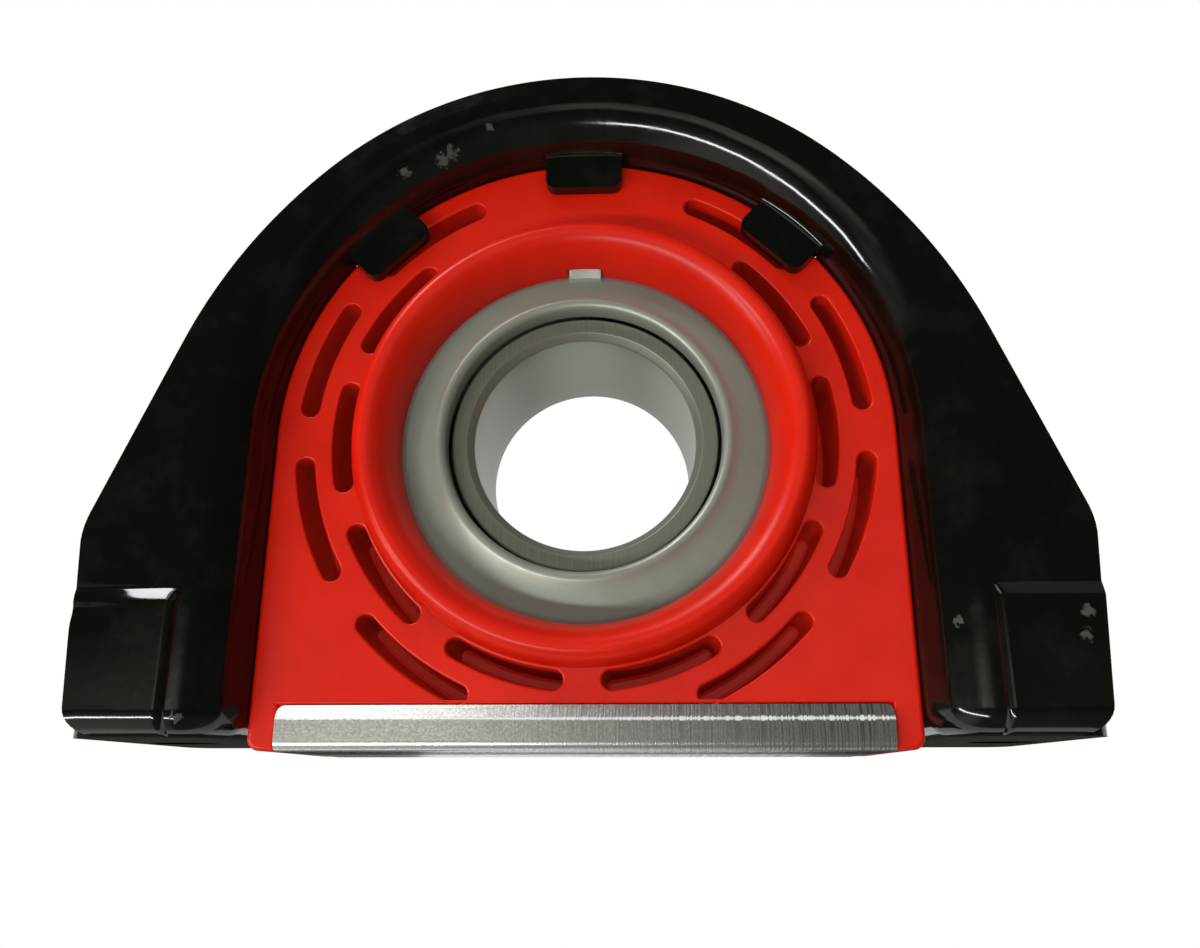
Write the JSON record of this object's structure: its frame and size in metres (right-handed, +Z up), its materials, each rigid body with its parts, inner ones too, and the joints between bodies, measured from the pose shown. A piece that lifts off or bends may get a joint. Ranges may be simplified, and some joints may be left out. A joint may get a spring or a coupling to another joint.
{
  "type": "driveshaft centre bearing",
  "caption": "Shaft support bearing: a sealed ball bearing carried by a slotted red moulded cushion inside an arched, flanged black steel bracket with slotted feet.",
  "frame": {"origin": "centre of the base, on the underside of the channel strip, midway between the front and rear faces", "axes": "+Z up from the base to the crown, +Y along the bore from the pictured side to the far side, +X to the right as seen from the pictured side"},
  "size_m": [0.2458, 0.0896, 0.1817],
  "materials": {
    "black_paint": "gloss black dipped paint on stamped steel",
    "red_cushion": "satin moulded red elastomer",
    "zinc_strip": "bright zinc plate with roll-forming scratches",
    "shield_steel": "satin pressed steel",
    "bearing_steel": "ground bearing steel",
    "seal_rubber": "matt black nitrile",
    "cage_brass": "pressed and riveted strip",
    "ball_steel": "lapped bearing balls"
  },
  "bodies": {
    "housing": {"bracket": "black_paint", "cushion": "red_cushion", "base_strip": "zinc_strip", "front_shield": "shield_steel", "rear_shield": "shield_steel", "outer_ring": "bearing_steel", "front_seal": "seal_rubber", "rear_seal": "seal_rubber", "front_seal_insert": "shield_steel", "rear_seal_insert": "shield_steel"},
    "shaft_ring": {"inner_ring": "bearing_steel"},
    "ball_train": {"cage_front": "cage_brass", "cage_rear": "cage_brass", "cage_rivets": "cage_brass", "ball_01": "ball_steel", "ball_02": "ball_steel", "ball_03": "ball_steel", "ball_04": "ball_steel", "ball_05": "ball_steel", "ball_06": "ball_steel", "ball_07": "ball_steel", "ball_08": "ball_steel", "ball_09": "ball_steel", "ball_10": "ball_steel"}
  },
  "joints": [
    {"name": "shaft_spin", "type": "hinge", "parent": "housing", "child": "shaft_ring", "pos_m": [0, 0, 0.081], "axis": [0, 1, 0], "continuous": true},
    {"name": "ball_orbit", "type": "hinge", "parent": "housing", "child": "ball_train", "pos_m": [0, 0, 0.081], "axis": [0, 1, 0], "continuous": true}
  ],
  "couplings": [
    {"joint": "ball_orbit", "follows": "shaft_spin", "ratio": 0.4066}
  ]
}
